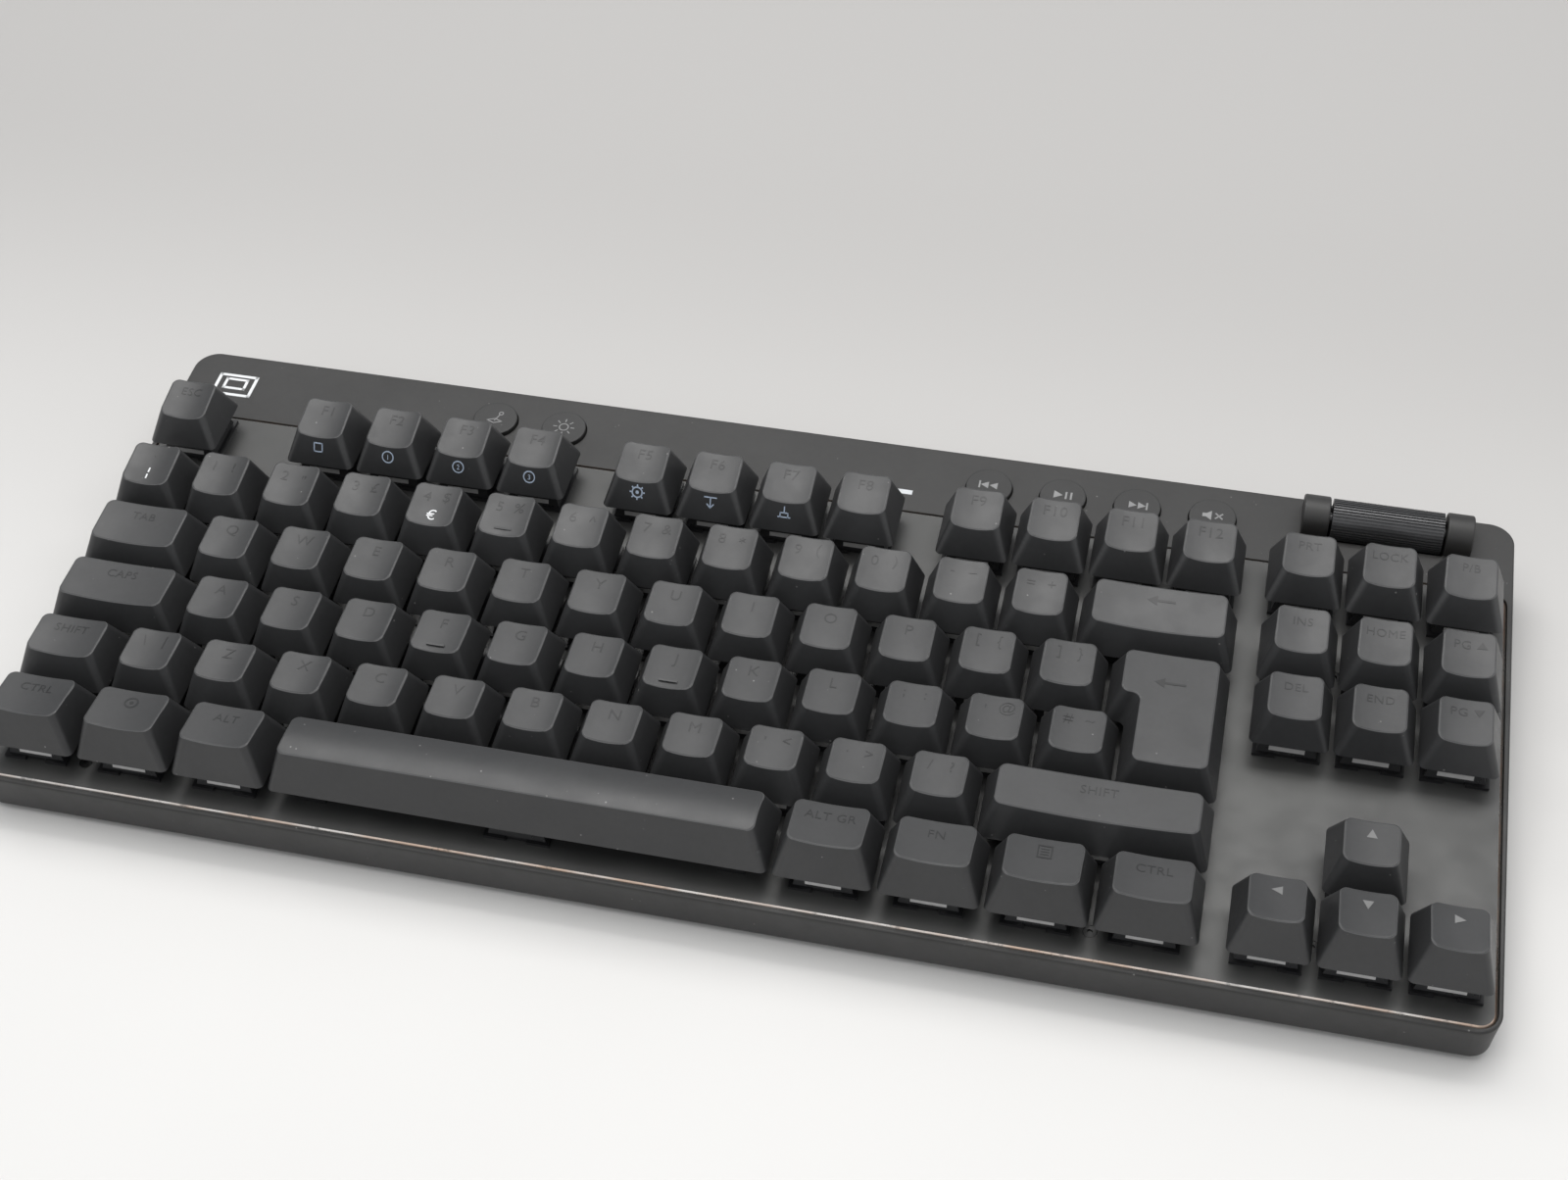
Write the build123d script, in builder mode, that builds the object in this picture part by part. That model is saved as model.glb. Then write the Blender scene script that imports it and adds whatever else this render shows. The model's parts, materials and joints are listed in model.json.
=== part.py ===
from build123d import *
import math
import os

os.makedirs("parts", exist_ok=True)

# ---- driving dimensions, millimetres and degrees ----
U = 19.05  # pitch from one key to the next
F_ROW_GAP = 5.5  # extra space between the number row and the function row
NAV = 15.25  # left edge of the navigation block, in key units
BLOCK_W = 18.25 * U  # width of all the key blocks together
CASE_W = 354.0
CASE_D = 148.4
CASE_Y = -0.27  # centre of the drafted outline, so that the whole keyboard is centred
CASE_DRAFT = 4.0  # the walls lean outwards by this much as they rise
FLOOR_Z = 1.2  # underside of the case, on its rubber feet
FLOOR_T = 2.0
WALL_T = 2.4
FRONT_R = 5.0  # plan radius of the two front corners
REAR_R = 5.0
TILT = 3.0  # slope of the deck towards the user
DECK_Z = 13.0  # deck height at the centre of the bottom key row
DECK_Y = -59.37  # position of that row, front to back
SEAM = 1.0  # depth of the joint line between frame and case
DECK_T = 2.4
LEDGE = 4.0  # depth of the lip inside the case
SKIN = 0.75  # outer skin of the case wall that overlaps the frame
SEAT = 3.0  # depth at which the frame rests on the case wall
LIP_X = 172.2  # half width of the opening inside the lip
PLATE_T = 1.5
PLATE_X = 175.2  # half width of the switch plate
PLATE_R = 4.0
PLATE_FRONT = -13.2
PLATE_REAR = 110.3
BOARD_TOP = -5.0
BOARD_T = 1.6
FOAM_T = 1.5

SKIRT_Z = 6.3  # lower edge of a key cap above the plate
CAP_HALF = 9.05
CAP_WALL = 1.3
TOP_INSET = 3.03  # how far each side of a cap leans in
DISH = 0.75
COVER_Z = 6.6  # top of a switch housing above the plate
SLIDER_TOP = 10.5
SWITCH_HALF = 6.95
STAB_TOP = 3.2

BUTTON_R = 5.95
BUTTON_Y = 121.8
ROLLER_X = (NAV + 1.5) * U - BLOCK_W / 2
ROLLER_Y = 125.7
ROLLER_Z = 2.0
ROLLER_R = 5.2
ROLLER_L = 27.2
BRACKET_R = 5.5
BRACKET_W = 6.6
AXLE_R = 1.5
PIVOT_X = 132.0
PIVOT_Y = 44.0
PIVOT_Z = 3.4
FOOT_L = 18.0
FOOT_W = 34.0

sin_t = math.sin(math.radians(TILT))
cos_t = math.cos(math.radians(TILT))
# The deck plane: x to the right, y up the slope from the bottom key row, z out of the plate.
DECK = Plane(origin=(0, DECK_Y, DECK_Z), x_dir=(1, 0, 0), z_dir=(0, -sin_t, cos_t))

# Height of each row's centre line on the deck: function row first, bottom row last.
ROW_Y = [5 * U + F_ROW_GAP, 4 * U, 3 * U, 2 * U, U, 0]
# Top face of the caps in each row: front edge y and z, back edge y and z, from the key centre.
PROFILE = [
    (-5.0, 14.2, 6.1, 15.9),
    (-5.3, 14.9, 6.7, 16.2),
    (-5.8, 14.4, 6.5, 14.6),
    (-5.9, 14.8, 6.3, 14.3),
    (-5.1, 15.2, 6.3, 14.7),
    (-5.5, 17.0, 6.6, 15.1),
]

# ---- the key layout: (centre in key units, row, width in key units) ----
SINGLE_KEYS = {
    "key_escape": (0.5, 0, 1),
    "key_backspace": (14.0, 1, 2),
    "key_tab": (0.75, 2, 1.5),
    "key_caps_lock": (0.875, 3, 1.75),
    "key_left_shift": (0.625, 4, 1.25),
    "key_right_shift": (13.625, 4, 2.75),
    "key_left_ctrl": (0.625, 5, 1.25),
    "key_super": (1.875, 5, 1.25),
    "key_left_alt": (3.125, 5, 1.25),
    "key_space": (6.875, 5, 6.25),
    "key_alt_gr": (10.625, 5, 1.25),
    "key_fn": (11.875, 5, 1.25),
    "key_menu": (13.125, 5, 1.25),
    "key_right_ctrl": (14.375, 5, 1.25),
    "key_up": (NAV + 1.5, 4, 1),
    "key_left": (NAV + 0.5, 5, 1),
    "key_down": (NAV + 1.5, 5, 1),
    "key_right": (NAV + 2.5, 5, 1),
}
# Banks of plain one-unit keys: first centre, row, how many.
KEY_BANKS = {
    "keys_f1_to_f4": (2.5, 0, 4),
    "keys_f5_to_f8": (7.0, 0, 4),
    "keys_f9_to_f12": (11.5, 0, 4),
    "keys_print_to_pause": (NAV + 0.5, 0, 3),
    "keys_insert_to_page_up": (NAV + 0.5, 1, 3),
    "keys_delete_to_page_down": (NAV + 0.5, 2, 3),
    "keys_grave_to_5": (0.5, 1, 6),
    "keys_6_to_equals": (6.5, 1, 7),
    "keys_q_to_t": (2.0, 2, 5),
    "keys_y_to_bracket": (7.0, 2, 7),
    "keys_a_to_g": (2.25, 3, 5),
    "keys_h_to_hash": (7.25, 3, 7),
    "keys_backslash_to_b": (1.75, 4, 6),
    "keys_n_to_slash": (7.75, 4, 5),
}
ENTER_X = 14.375  # the tall key's switch sits under its narrow part
ENTER_ROWS = (ROW_Y[2] + ROW_Y[3]) / 2
HOMING = {"keys_a_to_g": 3, "keys_h_to_hash": 1, "keys_grave_to_5": 5}
# Distance from a wide key's switch to its two stabilisers.
STABILISED = {"key_backspace": 11.94, "key_right_shift": 11.94, "key_space": 50.0}
ENTER_STAB = 11.94


def key_x(units):
    """Distance of a key centre from the middle of the case."""
    return units * U - BLOCK_W / 2


def on_deck(x, y, z=0.0):
    """A place on the sloping deck, in the frame of the whole keyboard."""
    return DECK.location * Location((x, y, z))


BANK_SPOTS = {}
for bank_name, (first, row, count) in KEY_BANKS.items():
    BANK_SPOTS[bank_name] = [(key_x(first + i), ROW_Y[row]) for i in range(count)]

SWITCH_SPOTS = [(key_x(ENTER_X), ENTER_ROWS)]
for centre, row, width in SINGLE_KEYS.values():
    SWITCH_SPOTS.append((key_x(centre), ROW_Y[row]))
for spots in BANK_SPOTS.values():
    SWITCH_SPOTS.extend(spots)

# Places of the stabiliser housings, either side of (or above and below) the wide keys' switches.
STAB_SPOTS = []
for key_name, reach in STABILISED.items():
    centre, row, width = SINGLE_KEYS[key_name]
    STAB_SPOTS.append((key_x(centre) - reach, ROW_Y[row]))
    STAB_SPOTS.append((key_x(centre) + reach, ROW_Y[row]))
ENTER_STABS = [(key_x(ENTER_X), ENTER_ROWS - ENTER_STAB), (key_x(ENTER_X), ENTER_ROWS + ENTER_STAB)]


# ---- key caps and switch stems ----
def corner_list(skirt, lean, stretch=1.0, shift=0.0):
    """Corners of a rectangular or stepped cap outline drawn in by lean = left/right, front, back."""
    side, front, back = lean
    x0, x1, y0, y1 = skirt[:4]
    low = (y0 + front - shift) * stretch
    high = (y1 - back - shift) * stretch
    corners = [(x0 + side, low), (x1 - side, low), (x1 - side, high)]
    if len(skirt) == 4:
        return corners + [(x0 + side, high)]
    step = (skirt[5] + front - shift) * stretch
    return corners + [(skirt[4] + side, high), (skirt[4] + side, step), (x0 + side, step)]


def cap_block(skirt, profile, lift, wall):
    """Outer form (wall 0, raised by lift) or inner hollow (wall thick, lift negative) of a cap."""
    front, z_front, back, z_back = profile
    height = (z_front + z_back) / 2 - SKIRT_Z
    grow = (height + lift) / height
    slope = math.atan2(z_back - z_front, back - front)
    lean = (TOP_INSET * grow + wall, (front - skirt[2]) * grow + wall, (skirt[3] - back) * grow + wall)
    middle = (front + back) / 2
    centre = (0, middle, (z_front + z_back) / 2 + lift)
    lid = Plane(origin=centre, x_dir=(1, 0, 0), z_dir=(0, -math.sin(slope), math.cos(slope)))
    with BuildPart() as block:
        with BuildSketch(Plane.XY.offset(SKIRT_Z if wall == 0 else SKIRT_Z - 0.01)) as foot:
            with BuildLine():
                Polyline(*corner_list(skirt, (wall, wall, wall)), close=True)
            make_face()
            fillet(foot.vertices(), 1.6 - wall / 2)
        with BuildSketch(lid) as head:
            with BuildLine():
                Polyline(*corner_list(skirt, lean, 1 / math.cos(slope), middle), close=True)
            make_face()
            fillet(head.vertices(), 2.0 - wall / 2)
        loft()
    return block.part


def key_cap(skirt, profile, posts, dish=DISH, crown=0.0):
    """One hollow cap: dished or crowned top with a soft edge, and a round socket post per stem."""
    front, z_front, back, z_back = profile
    slope = math.atan2(z_back - z_front, back - front)
    left = min(skirt[0], skirt[-2] if len(skirt) > 4 else skirt[0]) + TOP_INSET
    right = skirt[1] - TOP_INSET
    middle = ((left + right) / 2, (front + back) / 2, (z_front + z_back) / 2)
    with BuildPart() as cap:
        add(cap_block(skirt, profile, 1.2, 0))
        if dish > 0:
            half = (right - left) / 2
            radius = (half * half + dish * dish) / (2 * dish)
            along = (0, math.cos(slope), math.sin(slope))
            rise = radius - dish
            hub = (middle[0], middle[1] - rise * math.sin(slope), middle[2] + rise * math.cos(slope))
            with BuildSketch(Plane(origin=hub, x_dir=(1, 0, 0), z_dir=along)):
                Circle(radius)
            extrude(amount=40, both=True, mode=Mode.SUBTRACT)
        if crown > 0:
            chord = math.hypot(back - front, z_back - z_front) / 2
            radius = (chord * chord + crown * crown) / (2 * crown)
            sink = radius - crown
            with BuildSketch(Plane.YZ):
                with Locations((middle[1], middle[2])):
                    Rectangle(40, 30)
                with Locations((middle[1] + sink * math.sin(slope), middle[2] - sink * math.cos(slope))):
                    Circle(radius, mode=Mode.SUBTRACT)
                with Locations((middle[1], middle[2] - 18)):
                    Rectangle(60, 30, mode=Mode.SUBTRACT)
            extrude(amount=80, both=True, mode=Mode.SUBTRACT)
        top_face = cap.faces().sort_by(Axis.Z)[-1]
        fillet(top_face.edges(), 0.4)
        add(cap_block(skirt, profile, -dish - 1.3, CAP_WALL), mode=Mode.SUBTRACT)
        ceiling = middle[2] - dish - 1.0
        for x, y, base in posts:
            with BuildSketch(Plane.XY.offset(base)):
                with Locations((x, y)):
                    Circle(2.75)
                    Rectangle(4.2, 1.35, mode=Mode.SUBTRACT)
                    Rectangle(1.25, 4.2, mode=Mode.SUBTRACT)
            extrude(amount=4.0)
            with BuildSketch(Plane.XY.offset(base + 4.0)):
                with Locations((x, y)):
                    Circle(2.75)
            extrude(amount=ceiling - base - 4.0)
    return cap.part


def stem(stabiliser=False):
    """The sliding part under a cap: a block with the cross that pushes into the cap's post."""
    with BuildPart() as slider:
        with BuildSketch(Plane.XY.offset(-0.4 if stabiliser else 0.6)):
            Rectangle(3.2 if stabiliser else 8.6, 5.0 if stabiliser else 8.6)
        extrude(amount=7.6 if stabiliser else 4.7)
        if not stabiliser:
            with BuildSketch(Plane.XY.offset(5.3)):
                Rectangle(6.9, 5.5)
            extrude(amount=1.5)
        base = 7.2 if stabiliser else 6.8
        with BuildSketch(Plane.XY.offset(base)):
            Rectangle(4.1, 1.25)
            Rectangle(1.15, 4.1)
        extrude(amount=SLIDER_TOP - base)
    return slider.part


def skirt_of(width):
    """Skirt outline of a plain cap that many key units wide, about its own centre."""
    half = width * U / 2 - (U / 2 - CAP_HALF)
    return (-half, half, -CAP_HALF, CAP_HALF)


SWITCH_STEM = stem()
STAB_STEM = stem(stabiliser=True)

# Plain one-unit caps, one shape per row, shared by every bank in that row.
UNIT_CAPS = [key_cap(skirt_of(1), profile, [(0, 0, 6.9)]) for profile in PROFILE]

for name, (centre, row, width) in SINGLE_KEYS.items():
    posts = [(0, 0, 6.9)]
    reach = STABILISED.get(name)
    if reach:
        posts += [(-reach, 0, 7.4), (reach, 0, 7.4)]
    crowned = name == "key_space"
    cap = key_cap(skirt_of(width), PROFILE[row], posts, 0 if crowned else DISH, 0.8 if crowned else 0)
    with BuildPart() as key:
        with Locations(on_deck(key_x(centre), ROW_Y[row])):
            add(cap)
            add(SWITCH_STEM)
        for x, y, base in posts[1:]:
            with Locations(on_deck(key_x(centre) + x, ROW_Y[row])):
                add(STAB_STEM)
    key.part.label = name
    export_step(key.part, "parts/" + name + ".step")

# The tall stepped key spans two rows; its wide part is in the upper one.
enter_half = 0.625 * U - (U / 2 - CAP_HALF)
enter_gap = U / 2 - CAP_HALF
enter_skirt = (
    -enter_half,
    enter_half,
    enter_gap - U,
    U - enter_gap,
    -enter_half - 0.25 * U,
    enter_gap,
)
enter_profile = (PROFILE[3][0] - U / 2, PROFILE[3][1], PROFILE[2][2] + U / 2, PROFILE[2][3])
enter_posts = [(0, 0, 6.9), (0, -ENTER_STAB, 7.4), (0, ENTER_STAB, 7.4)]
enter_cap = key_cap(enter_skirt, enter_profile, enter_posts, dish=0.4)
with BuildPart() as key_enter:
    with Locations(on_deck(key_x(ENTER_X), ENTER_ROWS)):
        add(enter_cap)
        add(SWITCH_STEM)
    for x, y in ENTER_STABS:
        with Locations(on_deck(x, y)):
            add(STAB_STEM, rotation=(0, 0, 90))
key_enter.part.label = "key_enter"
export_step(key_enter.part, "parts/key_enter.step")

for name, (first, row, count) in KEY_BANKS.items():
    front, z_front, back, z_back = PROFILE[row]
    with BuildPart() as bank:
        with Locations(*[on_deck(x, y) for x, y in BANK_SPOTS[name]]):
            add(UNIT_CAPS[row])
            add(SWITCH_STEM)
        if name in HOMING:
            x, y = BANK_SPOTS[name][HOMING[name]]
            with Locations(on_deck(x, y + front + 1.7, z_front - DISH - 0.05)):
                Box(4.4, 0.6, 0.9)
    bank.part.label = name
    export_step(bank.part, "parts/" + name + ".step")


# ---- switch housings, one under every key ----
with BuildPart() as base_unit:
    with BuildSketch(Plane.XY.offset(BOARD_TOP)):
        Rectangle(2 * SWITCH_HALF, 2 * SWITCH_HALF)
    extrude(amount=-BOARD_TOP)
    with BuildSketch():
        Rectangle(15.6, 15.6)
        with Locations((0, 7.5), (0, -7.5)):
            Rectangle(5.0, 1.1, mode=Mode.SUBTRACT)
    extrude(amount=0.9)
    with BuildSketch(Plane.XY.offset(-4.2)):
        Rectangle(9.2, 9.2)
    extrude(amount=6, mode=Mode.SUBTRACT)

with BuildPart() as switch_bases:
    with Locations(*[on_deck(x, y) for x, y in SWITCH_SPOTS]):
        add(base_unit.part)
switch_bases.part.label = "switch_bases"
export_step(switch_bases.part, "parts/switch_bases.step")

with BuildPart() as cover_unit:
    with BuildSketch(Plane.XY.offset(0.9)):
        Rectangle(13.8, 13.8)
    with BuildSketch(Plane.XY.offset(COVER_Z)):
        Rectangle(10.6, 10.6)
    loft()
    with BuildSketch(Plane.XY.offset(0.9)):
        Rectangle(9.2, 9.2)
    extrude(amount=4.6, mode=Mode.SUBTRACT)
    with BuildSketch(Plane.XY.offset(5.0)):
        Rectangle(7.3, 5.9)
    extrude(amount=3, mode=Mode.SUBTRACT)

with BuildPart() as switch_covers:
    with Locations(*[on_deck(x, y) for x, y in SWITCH_SPOTS]):
        add(cover_unit.part)
switch_covers.part.label = "switch_covers"
export_step(switch_covers.part, "parts/switch_covers.step")

with BuildPart() as stab_unit:
    with BuildSketch(Plane.XY.offset(-4.4)):
        Rectangle(6.4, 11.8)
        Rectangle(3.5, 5.3, mode=Mode.SUBTRACT)
    extrude(amount=4.4 + STAB_TOP)

with BuildPart() as stabiliser_housings:
    with Locations(*[on_deck(x, y) for x, y in STAB_SPOTS]):
        add(stab_unit.part)
    with Locations(*[on_deck(x, y) for x, y in ENTER_STABS]):
        add(stab_unit.part, rotation=(0, 0, 90))
stabiliser_housings.part.label = "stabiliser_housings"
export_step(stabiliser_housings.part, "parts/stabiliser_housings.step")


# ---- switch plate, circuit board and damping sheet ----
PLATE_SCREWS = [
    (key_x(1.25), -5.6),
    (key_x(13.75), -5.6),
    (key_x(5.75), ROW_Y[3]),
    (key_x(10.75), ROW_Y[3]),
    (key_x(2.0), ROW_Y[1]),
    (key_x(9.0), ROW_Y[1]),
    (key_x(NAV + 1.0), ROW_Y[1]),
    (key_x(NAV + 1.0), ROW_Y[5]),
]
PLATE_MID = (PLATE_FRONT + PLATE_REAR) / 2
PLATE_LONG = PLATE_REAR - PLATE_FRONT

with BuildPart() as switch_plate:
    with BuildSketch(DECK):
        with Locations((0, PLATE_MID)):
            RectangleRounded(2 * PLATE_X, PLATE_LONG, PLATE_R)
    extrude(amount=-PLATE_T)
    rim = switch_plate.faces().sort_by(Axis(DECK.origin, DECK.z_dir))[-1].edges()
    rear_edge = rim.sort_by(Axis.Y)[-1]
    chamfer([e for e in rim if e.center().Y < rear_edge.center().Y - 4], 0.6)
    with BuildSketch(DECK):
        with Locations(*SWITCH_SPOTS):
            Rectangle(14.0, 14.0)
        with Locations(*STAB_SPOTS):
            Rectangle(6.5, 11.9)
        with Locations(*ENTER_STABS):
            Rectangle(11.9, 6.5)
    extrude(amount=-PLATE_T, mode=Mode.SUBTRACT)
    with BuildSketch(DECK):
        with Locations(*PLATE_SCREWS):
            Circle(1.1)
    extrude(amount=-PLATE_T, mode=Mode.SUBTRACT)
    with BuildSketch(DECK):
        with Locations(*PLATE_SCREWS):
            Circle(1.65)
    extrude(amount=-0.6, mode=Mode.SUBTRACT)
switch_plate.part.label = "switch_plate"
export_step(switch_plate.part, "parts/switch_plate.step")

with BuildPart() as plate_screws:
    with BuildSketch(DECK.offset(-0.1)):
        with Locations(*PLATE_SCREWS):
            Circle(1.55)
            RegularPolygon(0.7, 6, mode=Mode.SUBTRACT)
    extrude(amount=-0.5)
    with BuildSketch(DECK.offset(-0.5)):
        with Locations(*PLATE_SCREWS):
            Circle(0.9)
    extrude(amount=-4.5)
plate_screws.part.label = "plate_screws"
export_step(plate_screws.part, "parts/plate_screws.step")

with BuildPart() as circuit_board:
    with BuildSketch(DECK.offset(BOARD_TOP)):
        with Locations((0, (107.9 - 9.3) / 2)):
            Rectangle(344, 117.2)
        with Locations(*PLATE_SCREWS):
            Circle(2.5, mode=Mode.SUBTRACT)
    extrude(amount=-BOARD_T)
circuit_board.part.label = "circuit_board"
export_step(circuit_board.part, "parts/circuit_board.step")

with BuildPart() as damping_sheet:
    with BuildSketch(DECK.offset(BOARD_TOP - BOARD_T)):
        with Locations((0, (107.9 - 9.3) / 2)):
            Rectangle(342, 117.2)
        with Locations(*PLATE_SCREWS):
            Circle(2.6, mode=Mode.SUBTRACT)
    extrude(amount=-FOAM_T)
damping_sheet.part.label = "damping_sheet"
export_step(damping_sheet.part, "parts/damping_sheet.step")


# ---- the case: drafted tray below, frame with the rear deck above ----
RIM_Z = 20.0  # height at which the drafted walls reach the full size of the case
FLOOR_TOP = FLOOR_Z + FLOOR_T
CASE_SCREWS = [(-160, 64), (-30, 63), (20, 63), (169, 62)]
PORT_X = -20.0
PORT_Z = 10.0
SWITCH_X = 60.0
FEET = [(-150, -62, 40, 9), (150, -62, 40, 9), (0, -62, 60, 9), (-92, 60, 26, 9), (92, 60, 26, 9)]
BUTTONS = {
    "game_mode_button": key_x(4.5),
    "backlight_button": key_x(5.5),
    "previous_track_button": key_x(11.5),
    "play_pause_button": key_x(12.5),
    "next_track_button": key_x(13.5),
    "mute_button": key_x(14.5),
}
POCKETS = [(-PIVOT_X, PIVOT_Y + FOOT_L / 2 - 0.5), (PIVOT_X, PIVOT_Y + FOOT_L / 2 - 0.5)]
LENS_X = 23.6
LENS_Y = 116.9
SLOT_HALF = ROLLER_L / 2 + 0.7


def case_block(inset, base):
    """The drafted outline of the case drawn in by inset, from the height base up past the deck."""
    lean = inset + (RIM_Z - base) * math.tan(math.radians(CASE_DRAFT))
    with BuildPart() as block:
        with BuildSketch(Plane.XY.offset(base)) as plan:
            with Locations((0, CASE_Y)):
                Rectangle(CASE_W - 2 * lean, CASE_D - 2 * lean)
            fillet(plan.vertices().group_by(Axis.Y)[0], FRONT_R - inset / 2)
            fillet(plan.vertices().group_by(Axis.Y)[-1], REAR_R - inset / 2)
        extrude(amount=26 - base, taper=-CASE_DRAFT)
    return block.part


def slab(inset, depth):
    """The part of the drafted outline between the deck plane and a depth below it."""
    with BuildPart() as layer:
        add(case_block(inset, FLOOR_Z))
        with BuildSketch(DECK):
            Rectangle(600, 500)
        extrude(amount=60, mode=Mode.SUBTRACT)
        with BuildSketch(DECK.offset(-depth)):
            Rectangle(600, 500)
        extrude(amount=-60, mode=Mode.SUBTRACT)
    return layer.part


def posts_between(spots, radius, top_depth, bottom_z):
    """Upright round posts from a height above the desk up to a depth below the deck."""
    with BuildPart() as posts:
        with BuildSketch(Plane.XY.offset(bottom_z)):
            with Locations(*spots):
                Circle(radius)
        extrude(amount=40)
        with BuildSketch(DECK.offset(-top_depth)):
            Rectangle(600, 500)
        extrude(amount=60, mode=Mode.SUBTRACT)
    return posts.part


with BuildPart() as bottom_case:
    add(case_block(0, FLOOR_Z))
    fillet(bottom_case.faces().sort_by(Axis.Z)[0].edges(), 1.6)
    add(case_block(WALL_T, FLOOR_TOP), mode=Mode.SUBTRACT)
    # the wall ends at the seam; behind its outer skin the frame sits lower
    with BuildSketch(DECK.offset(-SEAM)):
        Rectangle(600, 500)
    extrude(amount=60, mode=Mode.SUBTRACT)
    add(slab(SKIN, SEAT), mode=Mode.SUBTRACT)
    # bosses for the screws that hold frame and plate
    add(posts_between(CASE_SCREWS, 2.8, LEDGE + 0.4, FLOOR_Z + 1))
    for x, y in PLATE_SCREWS:
        length = DECK_Z + y * sin_t - PLATE_T - FLOOR_Z - 1
        with BuildSketch(DECK.offset(-PLATE_T)):
            with Locations((x, y)):
                Circle(2.2)
        extrude(amount=-length)
    for x, y in PLATE_SCREWS:
        with BuildSketch(DECK.offset(-PLATE_T)):
            with Locations((x, y)):
                Circle(0.95)
        extrude(amount=-4, mode=Mode.SUBTRACT)
    with BuildSketch(Plane.XY.offset(FLOOR_Z)):
        with Locations(*CASE_SCREWS):
            Circle(1.3)
    extrude(amount=30, mode=Mode.SUBTRACT)
    with BuildSketch(Plane.XY.offset(FLOOR_Z)):
        with Locations(*CASE_SCREWS):
            Circle(2.5)
    extrude(amount=1.4, mode=Mode.SUBTRACT)
    # pockets for the fold-out feet, with bores for their pins
    with BuildSketch(Plane.XY.offset(FLOOR_Z + 0.5)):
        with Locations(*POCKETS):
            Rectangle(FOOT_W + 5, FOOT_L + 8)
    extrude(amount=5.7)
    with BuildSketch(Plane.XY.offset(FLOOR_Z - 1)):
        with Locations(*POCKETS):
            Rectangle(FOOT_W + 0.8, FOOT_L + 4)
    extrude(amount=5.6, mode=Mode.SUBTRACT)
    for x, y in POCKETS:
        with BuildSketch(Plane.YZ.offset(x)):
            with Locations((PIVOT_Y, PIVOT_Z)):
                Circle(1.25)
        extrude(amount=FOOT_W / 2 + 1.6, both=True, mode=Mode.SUBTRACT)
    # openings in the rear wall for the charging inlet and the power switch
    with BuildSketch(Plane.XZ.offset(-60)):
        with Locations((PORT_X, PORT_Z)):
            RectangleRounded(9.4, 3.6, 1.7)
        with Locations((SWITCH_X, PORT_Z)):
            Rectangle(9.0, 3.4)
    extrude(amount=-30, mode=Mode.SUBTRACT)
bottom_case.part.label = "bottom_case"
export_step(bottom_case.part, "parts/bottom_case.step")

with BuildPart() as top_frame:
    add(slab(0, SEAM))
    deck_face = top_frame.faces().sort_by(Axis(DECK.origin, DECK.z_dir))[-1]
    fillet(deck_face.edges(), 0.5)
    add(slab(SKIN + 0.05, SEAT - 0.05))
    add(slab(WALL_T + 0.15, LEDGE + 0.4))
    # well for the switch plate and the opening below it
    with BuildSketch(DECK.offset(1)):
        with Locations((0, PLATE_MID)):
            RectangleRounded(2 * PLATE_X + 0.6, PLATE_LONG + 0.3, PLATE_R + 0.3)
    extrude(amount=-1 - PLATE_T, mode=Mode.SUBTRACT)
    with BuildSketch(DECK.offset(1)):
        with Locations((0, (108.2 - 10.4) / 2)):
            Rectangle(2 * LIP_X, 118.6)
    extrude(amount=-10, mode=Mode.SUBTRACT)
    # hollow under the rear deck
    with BuildSketch(DECK.offset(-DECK_T)):
        with Locations((0, (111.5 + 129.3) / 2)):
            Rectangle(2 * LIP_X, 129.3 - 111.5)
    extrude(amount=-10, mode=Mode.SUBTRACT)
    add(posts_between(CASE_SCREWS, 2.8, DECK_T - 0.1, FLOOR_Z + 1) & slab(SKIN, LEDGE + 0.4))
    with BuildSketch(Plane.XY.offset(FLOOR_Z)):
        with Locations(*CASE_SCREWS):
            Circle(1.2)
    extrude(amount=15, mode=Mode.SUBTRACT)
    # round holes for the buttons, the indicator slot and the slot the roller turns in
    with BuildSketch(DECK.offset(1)):
        with Locations(*[(x, BUTTON_Y) for x in BUTTONS.values()]):
            Circle(BUTTON_R + 0.25)
        with Locations((LENS_X, LENS_Y)):
            Rectangle(5.0, 1.6)
        with Locations((ROLLER_X, 119.9 + 15)):
            Rectangle(2 * SLOT_HALF, 30)
    extrude(amount=-10, mode=Mode.SUBTRACT)
top_frame.part.label = "top_frame"
export_step(top_frame.part, "parts/top_frame.step")

with BuildPart() as case_screws:
    with BuildSketch(Plane.XY.offset(FLOOR_Z + 0.2)):
        with Locations(*CASE_SCREWS):
            Circle(2.3)
            RegularPolygon(1.0, 6, mode=Mode.SUBTRACT)
    extrude(amount=1.2)
    with BuildSketch(Plane.XY.offset(FLOOR_Z + 0.9)):
        with Locations(*CASE_SCREWS):
            Circle(1.15)
    extrude(amount=13.5)
case_screws.part.label = "case_screws"
export_step(case_screws.part, "parts/case_screws.step")

with BuildPart() as rubber_feet:
    with BuildSketch():
        for x, y, length, width in FEET:
            with Locations((x, y)):
                RectangleRounded(length, width, 2.5)
    extrude(amount=FLOOR_Z)
rubber_feet.part.label = "rubber_feet"
export_step(rubber_feet.part, "parts/rubber_feet.step")

with BuildPart() as battery_pack:
    with BuildSketch(Plane.XY.offset(FLOOR_TOP)):
        with Locations((-55, 42)):
            RectangleRounded(80, 34, 2)
    extrude(amount=4.8)
    fillet(battery_pack.faces().sort_by(Axis.Z)[-1].edges(), 1.0)
battery_pack.part.label = "battery_pack"
export_step(battery_pack.part, "parts/battery_pack.step")

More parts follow.
